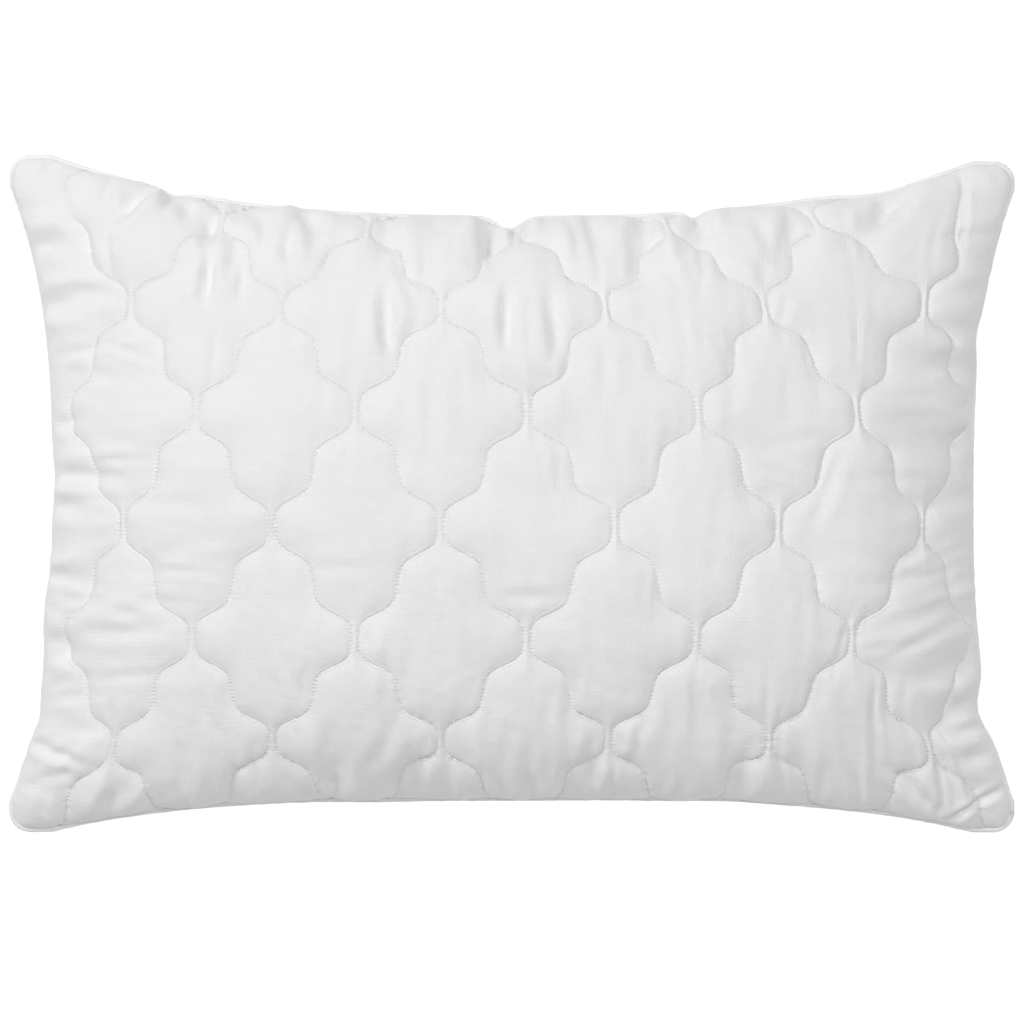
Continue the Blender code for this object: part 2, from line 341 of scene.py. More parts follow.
def gatherDepth(a, b, folds):
    total = np.zeros_like(a)
    k = gatherShape
    ways = {
        "top": (a, halfWidth - b), "bottom": (a, b + halfWidth),
        "left": (b, a + halfLength), "right": (b, halfLength - a),
    }
    for edge, (along, away) in ways.items():
        away = np.maximum(away, 0)
        for at, width, depth, reach, lean in folds[edge]:
            centre = at + lean * away
            w = k["narrow"] * width * (1 + k["fanOut"] * away / reach)
            ramp = smooth(away / k["start"]) * np.exp(-((away / reach) ** k["fade"]))
            hit = (along - centre) / w
            ridges = k["ridge"] * np.exp(-((np.abs(hit) - k["ridgeAt"]) ** 2))
            total += k["gain"] * depth * ramp * (np.exp(-hit * hit) - ridges)
    return total


# soft folds in the cloth: how many, and their size ranges
softFolds = {
    "count": 330, "length": (0.014, 0.036), "width": (0.0028, 0.0070), "depth": (0.0008, 0.0034),
    "spread": 0.95, "uprightShare": 1.25, "lean": 0.16, "bend": 0.12, "seamReach": 0.07,
    "everywhere": 0.18, "atSeam": 1.0, "ways": (1, 1, -0.7), "ridge": 0.5, "ridgeAt": 1.7,
}


def foldStrokes(a, b, seed):
    # short soft valleys and ridges: upright near the long seams, level near the short ones
    k = softFolds
    rng = np.random.default_rng(seed)
    total = np.zeros_like(a)
    for i in range(k["count"]):
        atA = rng.uniform(-1, 1) * halfLength * k["spread"]
        atB = rng.uniform(-1, 1) * halfWidth * k["spread"]
        toLong, toShort = halfWidth - abs(atB), halfLength - abs(atA)
        upright = toLong < k["uprightShare"] * toShort
        turn = (math.pi / 2 if upright else 0.0) + rng.normal(0, k["lean"])
        length = rng.uniform(*k["length"])
        width = rng.uniform(*k["width"])
        nearSeam = math.exp(-min(toLong, toShort) / k["seamReach"])
        depth = rng.uniform(*k["depth"]) * (k["everywhere"] + k["atSeam"] * nearSeam)
        depth *= rng.choice(k["ways"])
        da, db = a - atA, b - atB
        along = (da * math.cos(turn) + db * math.sin(turn)) / length
        bend = rng.uniform(-k["bend"], k["bend"]) * length
        across = (-da * math.sin(turn) + db * math.cos(turn) - bend * along * along) / width
        near = (np.abs(along) < 2.4) & (np.abs(across) < 4)
        q, w = along[near], across[near]
        ridges = k["ridge"] * np.exp(-(np.abs(w) - k["ridgeAt"]) ** 2)
        total[near] += depth * np.exp(-q * q) * (np.exp(-w * w) - ridges)
    return total


# the folds that show most: place from the middle, half length, width, depth, lean to the right
mainFolds = [
    (-0.014, 0.176, 0.020, 0.0052, 0.0043, -0.02), (-0.003, 0.120, 0.021, 0.0052, 0.0059, 0.02),
    (0.030, 0.118, 0.022, 0.0055, 0.0041, -0.14), (-0.087, 0.120, 0.022, 0.0052, 0.0054, -0.05),
    (-0.070, 0.104, 0.014, 0.0050, 0.0022, 0.10), (-0.158, 0.176, 0.016, 0.0052, 0.0046, 0.00),
    (-0.120, 0.170, 0.014, 0.0055, 0.0020, 0.00), (-0.073, 0.050, 0.022, 0.0055, 0.0015, 0.00),
    (-0.057, 0.058, 0.020, 0.0055, 0.0017, -0.05), (0.047, 0.070, 0.024, 0.0065, 0.0014, 0.00),
    (0.064, 0.078, 0.018, 0.0055, 0.0012, 0.05), (0.092, 0.160, 0.018, 0.0060, 0.0027, 0.00),
    (0.125, 0.178, 0.014, 0.0060, 0.0027, 0.20), (0.060, 0.182, 0.014, 0.0055, 0.0027, -0.20),
    (-0.249, 0.108, 0.012, 0.0045, 0.0023, 0.30), (-0.197, 0.166, 0.018, 0.0055, 0.0035, 0.30),
    (-0.214, 0.150, 0.016, 0.0045, 0.0059, 0.10), (-0.270, 0.206, 0.018, 0.0055, 0.0075, 0.75),
    (-0.249, 0.211, 0.012, 0.0045, 0.0060, 0.00), (-0.214, 0.190, 0.014, 0.0045, 0.0055, 0.40),
    (-0.333, 0.240, 0.010, 0.0050, 0.0055, 0.40), (-0.190, 0.150, 0.014, 0.0045, 0.0043, 0.05),
    (0.180, 0.150, 0.018, 0.0060, 0.0019, -0.15), (0.155, 0.080, 0.022, 0.0065, 0.0012, 0.00),
    (-0.128, -0.178, 0.016, 0.0062, 0.0024, 0.00), (-0.004, -0.178, 0.016, 0.0050, 0.0019, 0.10),
    (0.012, -0.182, 0.012, 0.0050, 0.0015, 0.00), (0.155, -0.178, 0.014, 0.0060, 0.0020, 0.00),
    (0.040, -0.180, 0.012, 0.0050, 0.0012, 0.00), (0.128, -0.110, 0.014, 0.0045, 0.0017, 0.00),
    (0.220, 0.000, 0.024, 0.0045, 0.0018, 0.35), (-0.295, 0.012, 0.020, 0.0050, 0.0022, 1.50),
    (-0.300, 0.085, 0.018, 0.0050, 0.0020, 1.65), (-0.275, -0.098, 0.030, 0.0050, 0.0020, 1.50),
    (-0.120, -0.052, 0.020, 0.0045, 0.0010, 1.57), (0.015, -0.072, 0.022, 0.0045, 0.0014, 1.57),
    (0.275, 0.010, 0.020, 0.0050, 0.0018, 1.57), (0.285, -0.090, 0.030, 0.0060, 0.0014, 1.45),
    (0.300, 0.055, 0.020, 0.0050, 0.0018, 1.65), (0.300, -0.128, 0.020, 0.0060, 0.0014, 1.40),
    (0.332, -0.227, 0.024, 0.0028, 0.0052, 1.06), (0.308, -0.200, 0.012, 0.0045, 0.0011, 0.05),
    (-0.315, -0.182, 0.010, 0.0040, 0.0024, 0.80), (-0.328, -0.203, 0.014, 0.0040, 0.0022, 1.30),
]


placedShape = {"ridge": 0.4, "ridgeAt": 1.9, "ends": 3}


def placedFolds(x, y):
    total = np.zeros_like(x)
    for atX, atY, length, width, depth, lean in mainFolds:
        dx, dy = x - atX, y - atY
        along = (dx * math.sin(lean) + dy * math.cos(lean)) / length
        across = (dx * math.cos(lean) - dy * math.sin(lean)) / width
        ridges = placedShape["ridge"] * np.exp(-((np.abs(across) - placedShape["ridgeAt"]) ** 2))
        total += depth * (np.exp(-across * across) - ridges) * np.exp(-np.abs(along) ** placedShape["ends"])
    return total


def panelNormals(points):
    # outward or downward normals of a grid of points, by its own rows and columns
    across = np.gradient(points, axis=1)
    upward = np.gradient(points, axis=0)
    n = np.cross(across, upward)
    length = np.linalg.norm(n, axis=-1, keepdims=True)
    return n / np.maximum(length, 1e-12)


# tight little puckers beside the stitches
puckers = {"depth": 0.00055, "reach": 0.0032, "length": 0.0060, "start": 0.0008,
           "usual": 0.7, "swing": 0.5, "patch": 0.05, "most": 1.4}
# how uneven the stuffed panel is, and how freely the cloth lies between its stitches
relief = {
    "hold": 0.010, "stitchHold": 0.8, "stitchReach": 0.006,
    "broad": 0.0012, "broadLength": 0.14, "middling": 0.0002, "middlingLength": 0.055,
    "puffSwing": 0.14, "puffLength": 0.09, "domeShape": 1.5,
    "crease": 0.00010, "creaseLength": 0.016, "creaseReach": 0.006,
    "softShare": 0.5, "floorSoftness": 0.0015,
}


class Panel:
    # one quilted side of the pillow: its flat grid, sewn-down base and puffed cover
    def __init__(self, side, grid, measures):
        self.side = side
        a, b, lines, shown = grid
        away, along = measures
        if side < 0:
            a = -a[:, ::-1]
            away, along = away[:, ::-1], along[:, ::-1]
        self.a, self.b, self.away, self.along = a, b, away, along
        inset = 2 * welt["radius"] - welt["overlap"]
        base = baseSurface(a, b, side, inset)
        normal = panelNormals(base) * side
        edge = np.minimum(rimReach(b) - np.abs(a), halfWidth - np.abs(b))
        self.edge = np.maximum(edge, 0)
        hold = 1 - np.exp(-self.edge / relief["hold"])
        folds = gatherDepth(a, b, gathersFor(side, backGathers["frontSeed" if side > 0 else "backSeed"]))
        broad = (Ripples(3 + side, relief["broadLength"]).at(a, b) * relief["broad"]
                 + Ripples(13 + side, relief["middlingLength"]).at(a, b) * relief["middling"])
        free = hold * (1 - relief["stitchHold"] * np.exp(-away / relief["stitchReach"]))
        self.soft = foldStrokes(a, b, 51 + side) * free
        placed = placedFolds(base[..., 0] * side - midX, base[..., 1] - midY) * free
        sunk = folds + placed + relief["softShare"] * self.soft
        base = base + normal * (broad * hold - sunk)[..., None]
        self.base = base
        # puffs rise square to the smooth panel, so that they can't cross each other in a fold
        self.normal = normal
        self.relief = self.puffs(seed=31 + side)
        self.cover = self.settled(base + self.normal * self.relief[..., None])

    def puffs(self, seed):
        a, b, away = self.a, self.b, self.away
        uneven = Ripples(seed, relief["puffLength"]).at(a, b)
        height = quilt["puffHeight"] * (1 + relief["puffSwing"] * uneven)
        swell = height * (1 - np.exp(-away / quilt["puffReach"]))
        swell += quilt["domeHeight"] * (1 - np.exp(-((away / quilt["domeReach"]) ** relief["domeShape"])))
        swell *= 1 - np.exp(-self.edge / quilt["seamReach"])
        tight = Ripples(seed + 1, puckers["length"], 16, 0.35, heading=0, fan=0)
        tug = np.tanh(tight.at(self.along, away))
        patch = Ripples(seed + 3, puckers["patch"]).at(a, b)
        patchy = np.clip(puckers["usual"] + puckers["swing"] * patch, 0, puckers["most"])
        fade = np.exp(-((away / puckers["reach"]) ** 2)) * (1 - np.exp(-away / puckers["start"]))
        swell += puckers["depth"] * tug * patchy * fade
        crease = Ripples(seed + 2, relief["creaseLength"], 16, 0.5).at(a, b)
        swell += relief["crease"] * crease * (1 - np.exp(-away / relief["creaseReach"]))
        return swell

    def settled(self, points):
        # the underside lies flat on whatever is below it
        if self.side < 0:
            soft = relief["floorSoftness"]
            points[..., 2] = soft * np.logaddexp(0, points[..., 2] / soft)
        return points


settling = {
    "rowStep": 3, "columnStep": 3, "frames": 14, "growth": 0.075, "growthAlong": 0.012, "growthEnds": 0.02,
    "endsFrom": 0.22, "endsOver": 0.10, "pressure": 0.35, "cap": 0.0034,
    "stitchHeld": 0.0007, "seamHeld": 0.0010,
}
cottonCloth = {
    "quality": 4, "mass": 0.12, "tension_stiffness": 14, "compression_stiffness": 14, "shear_stiffness": 4,
    "bending_stiffness": 0.02, "tension_damping": 8, "compression_damping": 8, "shear_damping": 8,
    "bending_damping": 0.6, "air_damping": 2,
}


def stretchOver(values, kept, full, axis):
    # from the coarse grid lines back to all of them
    return np.apply_along_axis(lambda line: np.interp(np.arange(full), kept, line), axis, values)


def settleCloth(panel, word):
    # the cover is a little larger than the panel under it, so it buckles between its stitches
    rows, columns = panel.a.shape
    i, j = thin(rows, settling["rowStep"]), thin(columns, settling["columnStep"])
    start = panel.cover[np.ix_(i, j)]
    cloth = meshFrom(f"{word}Settling", start.reshape(-1, 3), facesOfGrid(len(i), len(j), panel.side < 0))
    atStitch = panel.away[np.ix_(i, j)] < settling["stitchHeld"]
    held = atStitch | (panel.edge[np.ix_(i, j)] < settling["seamHeld"])
    held[0], held[-1], held[:, 0], held[:, -1] = True, True, True, True
    pins = cloth.vertex_groups.new(name="sewnDown")
    pins.add([int(k) for k in np.nonzero(held.ravel())[0]], 1.0, "REPLACE")
    modifier = cloth.modifiers.new("coverCloth", "CLOTH")
    feel = modifier.settings
    for key, value in cottonCloth.items():
        setattr(feel, key, value)
    feel.vertex_group_mass = "sewnDown"
    cloth.shape_key_add(name="sewn")
    cut = cloth.shape_key_add(name="cutCloth")
    rest = start.copy()
    ends = smooth((np.abs(start[..., 0] - midX) - settling["endsFrom"]) / settling["endsOver"])
    rest[..., 0] += (start[..., 0] - midX) * settling["growth"]
    rest[..., 1] += (start[..., 1] - midY) * (settling["growthAlong"] + settling["growthEnds"] * ends)
    cut.data.foreach_set("co", rest.astype(np.float32).ravel())
    feel.rest_shape_key = cut
    feel.use_pressure = True
    feel.uniform_pressure_force = settling["pressure"]
    feel.effector_weights.gravity = 0
    modifier.collision_settings.use_collision = False
    modifier.collision_settings.use_self_collision = False
    scene = bpy.context.scene
    modifier.point_cache.frame_start = 1
    modifier.point_cache.frame_end = settling["frames"]
    for frameNumber in range(1, settling["frames"] + 1):
        scene.frame_set(frameNumber)
    settled = cloth.evaluated_get(bpy.context.evaluated_depsgraph_get())
    moved = np.empty(len(cloth.data.vertices) * 3, np.float32)
    settled.data.vertices.foreach_get("co", moved)
    scene.frame_set(1)
    moved = moved.reshape(start.shape) - start
    far = np.linalg.norm(moved, axis=-1, keepdims=True)
    most, mean = round(float(far.max()) * 1000, 2), round(float(far.mean()) * 1000, 2)
    print("stage:", word, "cover settled, moved up to", most, "mm, mean", mean)
    moved *= np.minimum(1, settling["cap"] / np.maximum(far, 1e-9))
    bpy.data.objects.remove(cloth, do_unlink=True)
    moved = stretchOver(moved, j, columns, 1)
    moved = stretchOver(moved, i, rows, 0)
    moved -= panel.normal * ((1 - relief["softShare"]) * panel.soft)[..., None]
    panel.cover = panel.settled(panel.cover + moved)


def facesOfGrid(rows, columns, flip, offset=0):
    i = np.arange(rows - 1)[:, None] * columns + np.arange(columns - 1)[None, :] + offset
    quads = np.stack([i, i + 1, i + 1 + columns, i + columns], -1).reshape(-1, 4)
    return quads[:, ::-1] if flip else quads


def meshFrom(name, points, quads):
    mesh = bpy.data.meshes.new(name)
    mesh.vertices.add(len(points))
    mesh.vertices.foreach_set("co", np.asarray(points, np.float32).ravel())
    mesh.loops.add(quads.size)
    mesh.loops.foreach_set("vertex_index", quads.astype(np.int32).ravel())
    mesh.polygons.add(len(quads))
    mesh.polygons.foreach_set("loop_start", np.arange(len(quads), dtype=np.int32) * 4)
    mesh.update(calc_edges=True)
    mesh.validate()
    mesh.shade_smooth()
    piece = bpy.data.objects.new(name, mesh)
    bpy.context.scene.collection.objects.link(piece)
    return piece


def keepPlaces(piece, a, b, away, along):
    # where each point lies on the cut cloth, so that weave and stitch marks follow the cloth
    for name, first, second in (("clothPlace", a, b), ("stitchPlace", along, away)):
        places = np.stack([first.ravel(), second.ravel(), np.zeros(first.size)], -1).astype(np.float32)
        kept = piece.data.attributes.new(name, "FLOAT_VECTOR", "POINT")
        kept.data.foreach_set("vector", places.ravel())


def thicken(piece, thickness):
    shell = piece.modifiers.new("clothThickness", "SOLIDIFY")
    shell.thickness = thickness
    shell.offset = -1
    shell.use_even_offset = False


def thin(count, step):
    # every step-th grid line, always with the last one
    kept = list(range(0, count, step))
    if kept[-1] != count - 1:
        kept.append(count - 1)
    return np.array(kept)


def closedShell(name, outer, inner, flip):
    # a closed body between two grids of points
    rows, columns = outer.shape[:2]
    count = rows * columns
    quads = [facesOfGrid(rows, columns, flip), facesOfGrid(rows, columns, not flip, count)]
    rim = list(range(columns - 1))
    rim += [i * columns + columns - 1 for i in range(rows - 1)]
    rim += [(rows - 1) * columns + j for j in range(columns - 1, 0, -1)]
    rim += [i * columns for i in range(rows - 1, 0, -1)]
    rim = np.array(rim)
    after = np.roll(rim, -1)
    wall = np.stack([rim, rim + count, after + count, after], -1)
    quads.append(wall[:, ::-1] if flip else wall)
    points = np.concatenate([outer.reshape(-1, 3), inner.reshape(-1, 3)])
    return meshFrom(name, points, np.concatenate(quads))


def tubeAlong(paths, radius, sides, closed=False):
    # tubes along paths of points, as vertices and quads; an open one has four sides and square ends
    points, quads = [], []
    start = 0
    for path in paths:
        path = np.asarray(path)
        n = len(path)
        if closed:
            forward = np.roll(path, -1, 0) - np.roll(path, 1, 0)
        else:
            forward = np.gradient(path, axis=0)
        forward /= np.maximum(np.linalg.norm(forward, axis=1, keepdims=True), 1e-12)
        up = np.tile(np.array([0.0, 0.0, 1.0]), (n, 1))
        sideways = np.cross(forward, up)
        sideways /= np.maximum(np.linalg.norm(sideways, axis=1, keepdims=True), 1e-9)
        up = np.cross(sideways, forward)
        turn = np.arange(sides) * tau / sides
        ring = path[:, None] + radius * (np.cos(turn)[None, :, None] * sideways[:, None]
                                         + np.sin(turn)[None, :, None] * up[:, None])
        points.append(ring.reshape(-1, 3))
        last = n if closed else n - 1
        i = np.arange(last)[:, None]
        j = np.arange(sides)[None, :]
        k = (j + 1) % sides
        m = (i + 1) % n
        side = np.stack([i * sides + j, i * sides + k, m * sides + k, m * sides + j], -1)
        quads.append(side.reshape(-1, 4) + start)
        if not closed:
            for base, turnOver in ((0, True), ((n - 1) * sides, False)):
                cap = np.array([[base, base + 1, base + 2, base + 3]]) + start
                quads.append(cap[:, ::-1] if turnOver else cap)
        start += n * sides
    return np.concatenate(points), np.concatenate(quads)


textileFinish = {"sheenRoughness": 0.45, "specular": 0.25}


def newMaterial(name, colour, roughness, sheen=0.0):
    material = bpy.data.materials.new(name)
    material.use_nodes = True
    shader = material.node_tree.nodes["Principled BSDF"]
    shader.inputs["Base Color"].default_value = (*colour, 1)
    shader.inputs["Roughness"].default_value = roughness
    shader.inputs["Sheen Weight"].default_value = sheen
    shader.inputs["Sheen Roughness"].default_value = textileFinish["sheenRoughness"]
    shader.inputs["Specular IOR Level"].default_value = textileFinish["specular"]
    return material, shader


def node(material, kind, **values):
    made = material.node_tree.nodes.new(kind)
    for key, value in values.items():
        if key in made.inputs:
            made.inputs[key].default_value = value
        else:
            setattr(made, key, value)
    return made


def sine(material, source, period, phase=0.0):
    # sin(tau * value / period)
    scaled = node(material, "ShaderNodeMath", operation="MULTIPLY_ADD")
    scaled.inputs[1].default_value = tau / period
    scaled.inputs[2].default_value = phase
    wave = node(material, "ShaderNodeMath", operation="SINE")
    material.node_tree.links.new(source, scaled.inputs[0])
    material.node_tree.links.new(scaled.outputs[0], wave.inputs[0])
    return wave.outputs[0]


def combine(material, operation, one, two):
    made = node(material, "ShaderNodeMath", operation=operation)
    for socket, value in zip(made.inputs, (one, two)):
        if isinstance(value, (int, float)):
            socket.default_value = value
        else:
            material.node_tree.links.new(value, socket)
    return made.outputs[0]


def twoTone(material, factor, dark, light, shader):
    mix = node(material, "ShaderNodeMix", data_type="RGBA")
    mix.inputs[6].default_value = (*dark, 1)
    mix.inputs[7].default_value = (*light, 1)
    material.node_tree.links.new(factor, mix.inputs["Factor"])
    material.node_tree.links.new(mix.outputs[2], shader.inputs["Base Color"])


def bumpFrom(material, height, strength, distance, shader):
    bump = node(material, "ShaderNodeBump", Strength=strength, Distance=distance)
    material.node_tree.links.new(height, bump.inputs["Height"])
    material.node_tree.links.new(bump.outputs["Normal"], shader.inputs["Normal"])


def stretchedNoise(material, source, scale):
    # slubs: noise drawn out along one set of threads
    stretch = node(material, "ShaderNodeMapping")
    stretch.inputs["Scale"].default_value = scale
    material.node_tree.links.new(source, stretch.inputs["Vector"])
    noise = node(material, "ShaderNodeTexNoise", Scale=1.0, Detail=2.0)
    material.node_tree.links.new(stretch.outputs[0], noise.inputs["Vector"])
    return noise.outputs["Fac"]


coverLook = {
    "colour": (0.93, 0.93, 0.93), "shade": (0.90, 0.90, 0.90), "roughness": 0.82, "roughnessSwing": 0.07,
    "sheen": 0.12, "threadPitch": 0.00042, "weaveDepth": 0.00005,
    "slubDepth": 0.00030, "slubAlong": 48, "slubAcross": 640, "cloudScale": 26.0,
    "slubTone": 0.5, "toneFrom": 0.7, "toneTo": 1.3, "glossFrom": 0.6, "glossTo": 1.4,
    "holeDepth": 0.00032, "holeReach": 0.0010,
}
liningLook = dict(coverLook, colour=(0.9, 0.9, 0.89), shade=(0.86, 0.86, 0.85), weaveDepth=0.00008,
                  threadPitch=0.0008)


def coverCloth(name, look, stitched=True):
    material, shader = newMaterial(name, look["colour"], look["roughness"], look["sheen"])
    links = material.node_tree.links
    place = node(material, "ShaderNodeAttribute", attribute_name="clothPlace")
    split = node(material, "ShaderNodeSeparateXYZ")
    links.new(place.outputs["Vector"], split.inputs[0])
    # colour drifts a little, with faint slubs along both sets of threads
    cloud = node(material, "ShaderNodeTexNoise", Scale=look["cloudScale"], Detail=3.0)
    links.new(place.outputs["Vector"], cloud.inputs["Vector"])
    slubA = stretchedNoise(material, place.outputs["Vector"], (look["slubAlong"], look["slubAcross"], 1))
    slubB = stretchedNoise(material, place.outputs["Vector"], (look["slubAcross"], look["slubAlong"], 1))
    slubs = combine(material, "ADD", slubA, slubB)
    faint = combine(material, "MULTIPLY", slubs, look["slubTone"])
    drift = combine(material, "ADD", cloud.outputs["Fac"], faint)
    tone = node(material, "ShaderNodeMapRange")
    tone.inputs["From Min"].default_value = look["toneFrom"]
    tone.inputs["From Max"].default_value = look["toneTo"]
    links.new(drift, tone.inputs["Value"])
    twoTone(material, tone.outputs["Result"], look["shade"], look["colour"], shader)
    gloss = node(material, "ShaderNodeMapRange")
    gloss.inputs["From Min"].default_value = look["glossFrom"]
    gloss.inputs["From Max"].default_value = look["glossTo"]
    gloss.inputs["To Min"].default_value = look["roughness"] + look["roughnessSwing"]
    gloss.inputs["To Max"].default_value = look["roughness"] - look["roughnessSwing"]
    links.new(slubs, gloss.inputs["Value"])
    links.new(gloss.outputs["Result"], shader.inputs["Roughness"])
    # plain weave: one thread over, the next under
    warp = sine(material, split.outputs["X"], 2 * look["threadPitch"])
    weft = sine(material, split.outputs["Y"], 2 * look["threadPitch"])
    weave = combine(material, "MULTIPLY", combine(material, "MULTIPLY", warp, weft), look["weaveDepth"])
    height = combine(material, "ADD", weave, combine(material, "MULTIPLY", slubs, look["slubDepth"]))
    if stitched:
        marks = node(material, "ShaderNodeAttribute", attribute_name="stitchPlace")
        parts = node(material, "ShaderNodeSeparateXYZ")
        links.new(marks.outputs["Vector"], parts.inputs[0])
        beat = sine(material, parts.outputs["X"], stitch["length"], math.pi / 2)
        fade = combine(material, "POWER", math.e,
                       combine(material, "DIVIDE", parts.outputs["Y"], -look["holeReach"]))
        hole = combine(material, "MULTIPLY", combine(material, "MULTIPLY", beat, fade), -look["holeDepth"])
        height = combine(material, "ADD", height, hole)
    bumpFrom(material, height, 1.0, 1.0, shader)
    return material


def fibres(name, look):
    # twisted or matted fibres: noise in the colour and the surface
    material, shader = newMaterial(name, look["colour"], look["roughness"], look["sheen"])
    spot = node(material, "ShaderNodeTexCoord")
    noise = node(material, "ShaderNodeTexNoise", Scale=look["scale"], Detail=look["detail"])
    noise.inputs["Distortion"].default_value = look["matting"]
    material.node_tree.links.new(spot.outputs["Object"], noise.inputs["Vector"])
    bumpFrom(material, noise.outputs["Fac"], look["strength"], look["depth"], shader)
    dark = [c * look["shade"] for c in look["colour"]]
    twoTone(material, noise.outputs["Fac"], dark, look["colour"], shader)
    return material


fluff = {"roughness": 0.95, "sheen": 0.2, "detail": 6.0, "matting": 1.2, "strength": 0.8, "shade": 0.93}
fibreLooks = {
    "needleThread": {"colour": (0.92, 0.92, 0.93), "roughness": 0.5, "sheen": 0.1, "scale": 2600.0,
                     "detail": 2.0, "matting": 0.0, "strength": 0.6, "depth": 0.0001, "shade": 0.9},
    "polyesterWadding": dict(fluff, colour=(0.93, 0.93, 0.93), scale=220.0, depth=0.0012),
    "hollowFibre": dict(fluff, colour=(0.94, 0.94, 0.94), scale=90.0, depth=0.003),
    "cordCotton": dict(fluff, colour=(0.9, 0.89, 0.86), scale=900.0, depth=0.0004),
}


def declare(piece, material, slotName, *nodes):
    piece.data.materials.append(material)
    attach(piece, "root")
    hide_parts(*nodes)


# the sandwich under each cover, and the filling: thicknesses and gaps
layers = {
    "cover": 0.0005, "waddingGap": 0.0016, "waddingLeast": 0.0005, "waddingMore": 0.0008,
    "waddingFrom": 0.012, "lining": 0.0003, "liningGap": 0.0004, "drawIn": 0.004, "step": 2,
    "flat": (0.775, 0.525),
}
filling = {"gap": 0.0012, "lump": 0.0012, "lumpSwing": 0.4, "lumpLength": 0.06, "reach": 0.975,
           "least": 0.0008, "rowStep": 2, "columnStep": 3}


def makeCover(panel, word, material):
    quads = facesOfGrid(*panel.a.shape, panel.side < 0)
    piece = meshFrom(f"{word}Cover", panel.cover.reshape(-1, 3), quads)
    keepPlaces(piece, panel.a, panel.b, panel.away, panel.along)
    thicken(piece, layers["cover"])
    declare(piece, material, "cover_cotton", f"{word}_cover")


def makeSandwich(panel, word, waddingMaterial, liningMaterial):
    kept = np.ix_(thin(panel.a.shape[0], layers["step"]), thin(panel.a.shape[1], layers["step"]))
    base, normal, cover = panel.base[kept], panel.normal[kept], panel.cover[kept]
    edge = np.minimum(panel.edge[kept] / layers["waddingFrom"], 1)[..., None]
    puff = np.sum((cover - base) * normal, -1, keepdims=True)
    drop = layers["cover"] + layers["waddingGap"]
    outer = cover - normal * drop
    inner = base - normal * (drop + layers["waddingLeast"] + np.maximum(-puff, 0))
    inner = inner - normal * layers["waddingMore"] * edge
    shift = (base[..., :2].mean((0, 1)) - base[..., :2]) * layers["drawIn"]
    outer[..., :2] += shift
    inner[..., :2] += shift
    wadding = closedShell(f"{word}Wadding", outer, inner, panel.side < 0)
    declare(wadding, waddingMaterial, "polyester_wadding", f"{word}_wadding")
    top = inner - normal * layers["liningGap"]
    low = top - normal * layers["lining"]
    lining = closedShell(f"{word}Lining", top, low, panel.side < 0)
    a, b = np.concatenate([panel.a[kept]] * 2), np.concatenate([panel.b[kept]] * 2)
    keepPlaces(lining, a, b, np.ones(a.shape), np.zeros(a.shape))
    declare(lining, liningMaterial, "lining_cloth", f"{word}_lining")
    return low


def makeThreads(panel, word, lines, shown, material):
    columns = quilt["columns"]
    total = panel.a.shape[1]
    for index in range(quilt["waves"]):
        column = (index + 1) * columns
        if panel.side < 0:
            column = total - 1 - column
        seen = shown[index]
        line = panel.cover[:, column]
        normal = panel.normal[:, column]
        paths = []
        rows = np.nonzero(seen)[0]
        for run in np.split(rows, np.nonzero(np.diff(rows) > 1)[0] + 1):
            if len(run) > stitch["leastRows"]:
                paths.append(stitchPath(line[run], normal[run]))
        points, quads = tubeAlong(paths, stitch["radius"], 4)
        piece = meshFrom(f"{word}QuiltThread{index + 1:02d}", points, quads)
        declare(piece, material, "quilting_thread", f"{word}_quilt_thread_{index + 1:02d}")


def stitchPath(line, normal):
    # a running line of stitches: each arches over the cloth and dips into its needle holes
    run = np.concatenate([[0], np.cumsum(np.linalg.norm(np.diff(line, axis=0), axis=1))])
    count = max(int(run[-1] / stitch["length"]), 2)
    s = np.linspace(0, run[-1], count * stitch["points"] + 1)
    at = np.stack([np.interp(s, run, line[:, k]) for k in range(3)], 1)
    out = np.stack([np.interp(s, run, normal[:, k]) for k in range(3)], 1)
    phase = s / run[-1] * count % 1.0
    arch = np.sin(math.pi * phase) ** 0.5
    lift = stitch["rise"] - stitch["dip"] * (1 - arch)
    return at + out * lift[:, None]


def makeFill(frontLow, backLow, material):
    rows, columns = frontLow.shape[:2]
    kept = np.ix_(thin(rows, filling["rowStep"]), thin(columns, filling["columnStep"]))
    top, low = frontLow[kept].copy(), backLow[kept].copy()
    middle = np.array([midX, midY])
    for surface, way, seed in ((top, -1, 5), (low, 1, 6)):
        lumps = Ripples(seed, filling["lumpLength"]).at(surface[..., 0], surface[..., 1])
        surface[..., 2] += way * (filling["gap"] + filling["lump"] * (1 + filling["lumpSwing"] * lumps))
        surface[..., :2] = middle + (surface[..., :2] - middle) * filling["reach"]
    pinch = np.maximum(filling["least"] - 0.5 * (top[..., 2] - low[..., 2]), 0)
    top[..., 2] += pinch
    low[..., 2] -= pinch
    fill = closedShell("fibreFill", top, low, False)
    declare(fill, material, "hollow_fibre", "fibre_fill")


